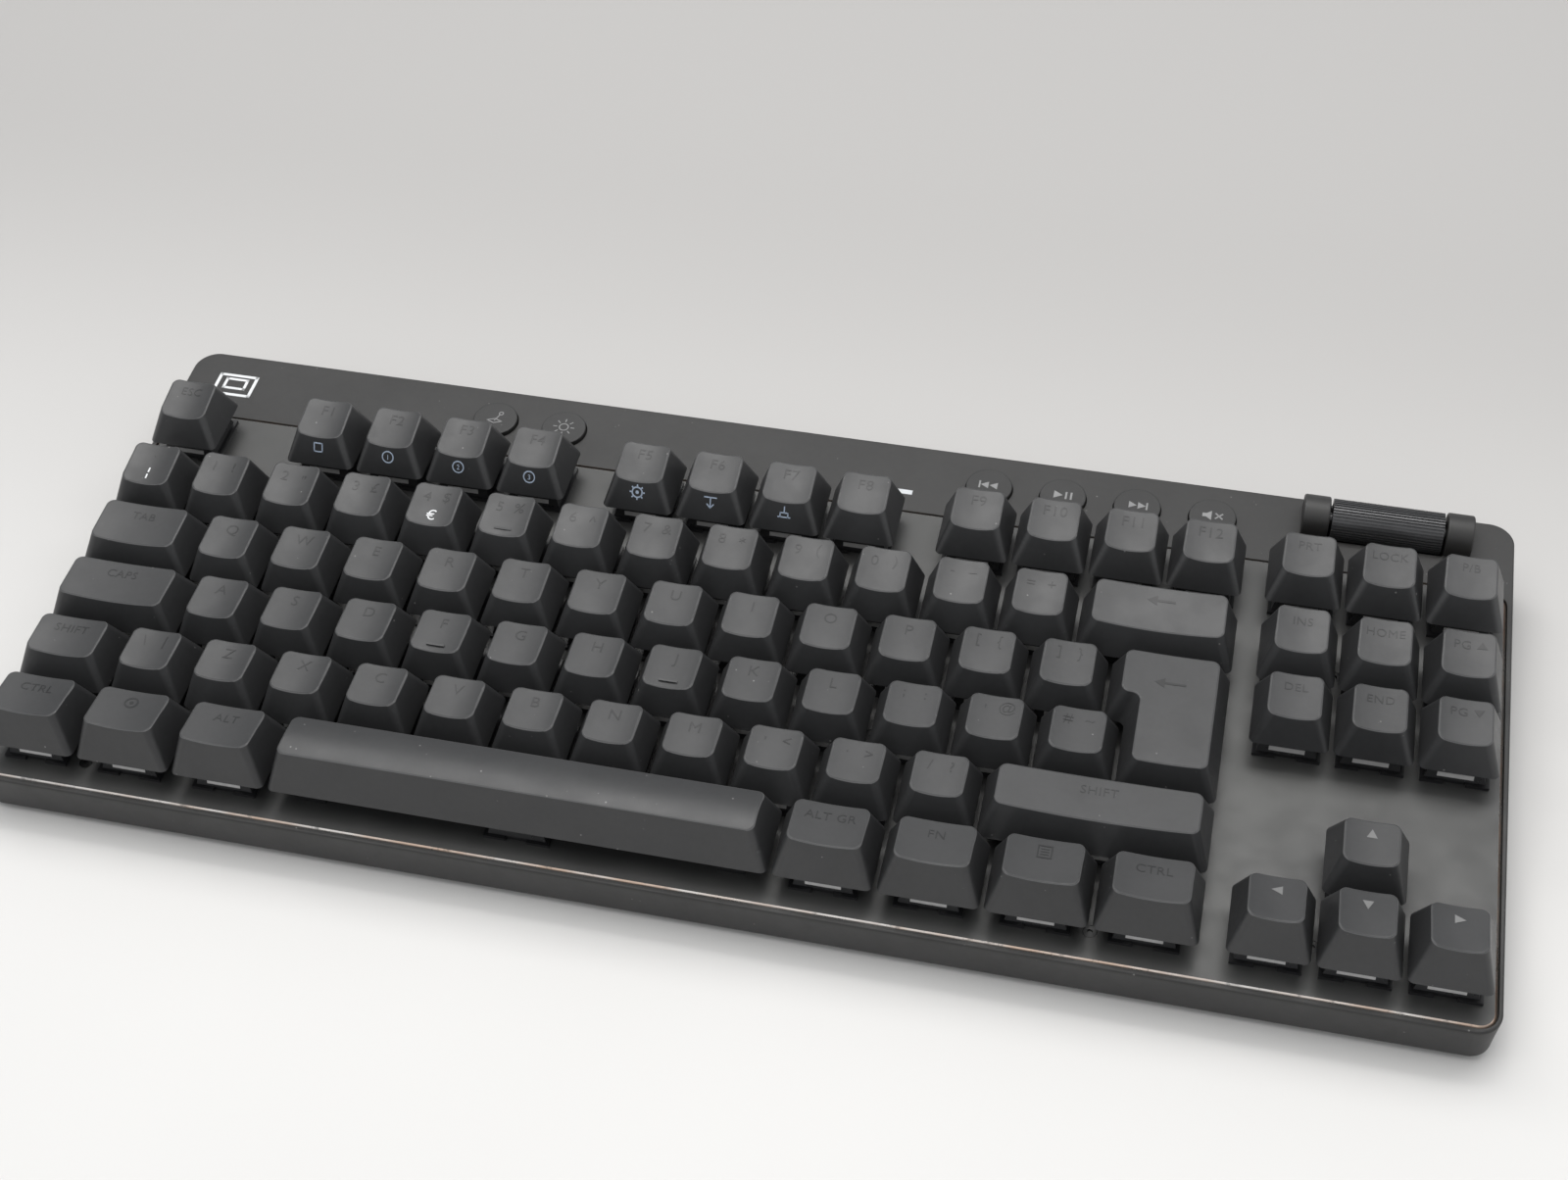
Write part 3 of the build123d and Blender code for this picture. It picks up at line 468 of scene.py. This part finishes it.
def put_legend(relief, text, centre):
    """One cap's legend: a pair of signs side by side, a letter, a function name or a short word."""
    spot = centre + DECK_BACK * LEGEND_BACK
    if text.startswith("F") and len(text) > 1:
        put_word(relief, text, spot, 3.0)
    elif text in ("PG+", "PG-"):
        put_word(relief, "PG", spot - RIGHT * 1.6 * MM, 2.4)
        turn = math.radians(-90 if text.endswith("+") else 90)
        head = swing([[(-1.1, 0.0), (0.9, 1.2), (0.9, -1.2)][::-1]], turn)
        relief.put_all(head, THICK, spot + RIGHT * 2.9 * MM, RIGHT, DECK_BACK, PRESS)
    elif len(text) == 2:
        put_word(relief, text[0], spot - RIGHT * 2.5 * MM, 3.0)
        put_word(relief, text[1], spot + RIGHT * 2.5 * MM, 3.0)
    else:
        put_word(relief, text, spot, 3.1 if len(text) == 1 else 2.3)


def build_legends(material, pale):
    for node, words in BANK_LEGENDS.items():
        labels = words.split(" ")
        relief = Relief("legends_" + node, node)
        for i, text in enumerate(labels):
            put_legend(relief, text, cap_centre(node, i, len(labels)))
        relief.finish(material, node)
    for node, text in KEY_WORDS.items():
        relief = Relief("legend_" + node, node)
        put_word(relief, text, cap_centre(node) + DECK_BACK * LEGEND_BACK, 2.4)
        relief.finish(material, node)
    for node, degrees in KEY_ARROWS.items():
        relief = Relief("legend_" + node, node)
        shape = swing([[(-1.3, 0.0), (1.1, -1.2), (1.1, 1.2)]], math.radians(degrees))
        relief.put_all(shape, THICK, cap_centre(node) + DECK_BACK * LEGEND_BACK, RIGHT, DECK_BACK, PRESS)
        relief.finish(pale, node)
    build_symbol_keys(material)


def build_symbol_keys(material):
    relief = Relief("legend_key_backspace", "key_backspace")
    spot = cap_centre("key_backspace") + DECK_BACK * LEGEND_BACK
    relief.put_all(arrow(6.4, 2.4, 0.6), THICK, spot, RIGHT, DECK_BACK, PRESS)
    relief.finish(material, "key_backspace")

    low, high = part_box("key_enter")
    relief = Relief("legend_key_enter", "key_enter")
    spot = Vector(((low.x + high.x) / 2, (low.y + high.y) / 2, low.z)) + DECK_BACK * 8.0 * MM
    relief.put_all(arrow(7.0, 2.4, 0.6), THICK, spot, RIGHT, DECK_BACK, PRESS)
    relief.finish(material, "key_enter")

    relief = Relief("legend_key_super", "key_super")
    spot = cap_centre("key_super") + DECK_BACK * LEGEND_BACK
    ring = hoop(0, 0, 1.5, 0.5) + [round_points(0, 0, 0.5, 12)]
    relief.put_all(ring, THICK, spot, RIGHT, DECK_BACK, PRESS)
    relief.finish(material, "key_super")

    relief = Relief("legend_key_menu", "key_menu")
    spot = cap_centre("key_menu") + DECK_BACK * LEGEND_BACK
    lines = [stroke(-0.8, y, 0.8, y, 0.3) for y in (-0.8, 0.0, 0.8)]
    relief.put_all(boxed(0, 0, 1.5, 1.7, 0.35) + lines, THICK, spot, RIGHT, DECK_BACK, PRESS)
    relief.finish(material, "key_menu")


# ---- bright printed signs on caps ----
def build_prints(white, blue):
    euro = Relief("print_keys_grave_to_5", "keys_grave_to_5")
    spot = cap_centre("keys_grave_to_5", 4, 6) - DECK_BACK * 2.2 * MM
    euro.put(glyph("€", 3.0, PRINT), spot, RIGHT, DECK_BACK, PRESS)
    spot = cap_centre("keys_grave_to_5", 0, 6) - DECK_BACK * 2.0 * MM
    bars = [stroke(0, 0.5, 0, 1.5, 0.4), stroke(0, -0.5, 0, -1.5, 0.4)]
    euro.put_all(bars, PRINT, spot, RIGHT, DECK_BACK, PRESS)
    euro.finish(white, "keys_grave_to_5")

    slope = (DECK_BACK * 0.35 + DECK_UP * 0.94).normalized()
    for node, first in (("keys_f1_to_f4", 1), ("keys_f5_to_f8", 5)):
        relief = Relief("front_signs_" + node, node)
        for i in range(4):
            number = first + i
            spot = cap_centre(node, i, 4)
            spot.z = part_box(node)[1].z - 5.0 * MM
            shapes = front_sign(number)
            relief.put_all(shapes, PRINT, spot, RIGHT, slope, DECK_BACK)
            if 2 <= number <= 4:
                relief.put(glyph(str(number - 1), 1.3, PRINT), spot, RIGHT, slope, DECK_BACK)
        relief.finish(blue, node)


def front_sign(number):
    """The small sign on the front wall of a function key; none after the seventh."""
    if number == 1:
        return boxed(0, 0, 1.1, 1.1, 0.3)
    if number <= 4:
        return hoop(0, 0, 1.45, 0.3)
    if number == 5:
        teeth = [stroke(1.5 * math.cos(a), 1.5 * math.sin(a), 1.8 * math.cos(a), 1.8 * math.sin(a), 0.35)
                 for a in [math.radians(45 * i) for i in range(8)]]
        return hoop(0, 0, 1.3, 0.35) + [round_points(0, 0, 0.45, 10)] + teeth
    if number == 6:
        return [stroke(0, -1.4, 0, 1.2, 0.3), stroke(-1.5, 1.3, 1.5, 1.3, 0.3),
                stroke(0, -1.4, -0.8, -0.5, 0.3), stroke(0, -1.4, 0.8, -0.5, 0.3)]
    if number == 7:
        return [stroke(-1.5, -1.1, 1.5, -1.1, 0.3), stroke(-1.0, -1.1, -1.0, 0.0, 0.3),
                stroke(1.0, -1.1, 1.0, 0.0, 0.3), stroke(-1.0, 0.0, 1.0, 0.0, 0.3),
                stroke(0, 0.0, 0, 1.5, 0.3)]
    return []


# ---- signs on the round buttons and the rear deck ----
def triangle(x, half, left):
    points = [(x - half, 0), (x + half, half * 1.15), (x + half, -half * 1.15)]
    if left:
        return points[::-1]
    return [(2 * x - px, py) for px, py in points]


BUTTON_SIGNS = {
    "previous_track_button": [stroke(-2.5, -1.0, -2.5, 1.0, 0.45), triangle(-1.2, 1.0, True),
                              triangle(1.1, 1.0, True)],
    "play_pause_button": [triangle(-1.2, 1.15, False), stroke(0.8, -1.0, 0.8, 1.0, 0.5),
                          stroke(2.1, -1.0, 2.1, 1.0, 0.5)],
    "next_track_button": [triangle(-1.2, 1.0, False), triangle(1.1, 1.0, False),
                          stroke(2.4, -1.0, 2.4, 1.0, 0.45)],
    "mute_button": [[(-2.6, -0.6), (-1.6, -0.6), (-0.3, -1.6), (-0.3, 1.6), (-1.6, 0.6), (-2.6, 0.6)],
                    stroke(0.8, -0.8, 2.4, 0.8, 0.4), stroke(0.8, 0.8, 2.4, -0.8, 0.4)],
    "backlight_button": hoop(0, 0, 1.2, 0.28) + [
        stroke(2.0 * math.cos(a), 2.0 * math.sin(a), 2.8 * math.cos(a), 2.8 * math.sin(a), 0.28)
        for a in [math.radians(45 * i) for i in range(8)]],
    "game_mode_button": [stroke(-2.0, -1.1, 0, -0.3, 0.28), stroke(0, -0.3, 2.0, -1.1, 0.28),
                         stroke(-2.0, -1.1, 0, -1.9, 0.28), stroke(0, -1.9, 2.0, -1.1, 0.28),
                         stroke(0, -0.9, 0.9, 1.3, 0.28)] + hoop(1.1, 1.8, 0.55, 0.28, 12),
}


def build_button_signs(material):
    for node, shapes in BUTTON_SIGNS.items():
        low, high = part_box(node)
        centre = (low + high) / 2
        relief = Relief("sign_" + node, node)
        relief.put_all(shapes, PRINT, Vector((centre.x, centre.y, high.z)), RIGHT, DECK_BACK, PRESS)
        relief.finish(material, node)


def build_deck_mark(material):
    """Two nested plain rectangles, like a key seen from above, printed at the rear left of the deck."""
    frame_low, frame_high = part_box("top_frame")
    button_low, button_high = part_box("game_mode_button")
    place = Vector((frame_low.x + 14.0 * MM, (button_low.y + button_high.y) / 2, button_high.z))
    outline = boxed(0, 0, 5.2, 3.6, 0.9) + boxed(0, 0.5, 2.9, 1.7, 0.8)
    relief = Relief("deck_mark", "top_frame")
    relief.put_all(outline, PRINT, place, RIGHT, DECK_BACK, PRESS)
    relief.finish(material, "case")


def build_painted_reflection_bars(material):
    """The pale bar along the front of each switch housing, seen below the caps, is a painted reflection of
    light on the smoky cover.
    """
    plate_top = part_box("switch_plate")[1]
    level = DECK_UP.dot(Vector((0, plate_top.y, plate_top.z))) + 2.25 * MM
    relief = Relief("painted_reflection_bars", "switch_covers")
    spots = [cap_centre(node) for node in list(KEY_WORDS) + list(KEY_ARROWS) + ["key_super", "key_menu"]]
    for node, words in BANK_LEGENDS.items():
        count = len(words.split(" "))
        spots += [cap_centre(node, i, count) for i in range(count)]
    bar = [[(-4.1, -0.55), (4.1, -0.55), (4.1, 0.55), (-4.1, 0.55)]]
    for spot in spots:
        centre = spot + DECK_UP * (level - DECK_UP.dot(spot))
        relief.put_all(bar, 0.12, centre, RIGHT, DECK_UP, DECK_BACK, 8.5 * MM)
    relief.finish(material, "case")


make_camera()
make_stage()
dress_all()
legend_material = surface("legend_plastic", (0.008, 0.008, 0.0085), 0.42, grain=(1800, 0.05, 0.00002))
white_ink = surface("white_ink", (0.72, 0.73, 0.74), 0.45, grain=(1800, 0.05, 0.00002), mottle=0.05)
blue_ink = surface("blue_ink", (0.42, 0.50, 0.62), 0.4, grain=(1800, 0.05, 0.00002), mottle=0.1)
sign_ink = surface("sign_ink", (0.24, 0.24, 0.24), 0.45, grain=(1800, 0.05, 0.00002), mottle=0.1)
arrow_material = surface("arrow_plastic", (0.17, 0.17, 0.168), 0.45, grain=(1800, 0.05, 0.00002))
build_legends(legend_material, arrow_material)
build_prints(white_ink, blue_ink)
build_button_signs(sign_ink)
build_deck_mark(white_ink)
# pale bars painted on the switch covers as a reflection of the light
build_painted_reflection_bars(surface("painted_reflection_bar", (0.55, 0.54, 0.53), 0.35, grain=(1500, 0.08, 0.00003)))
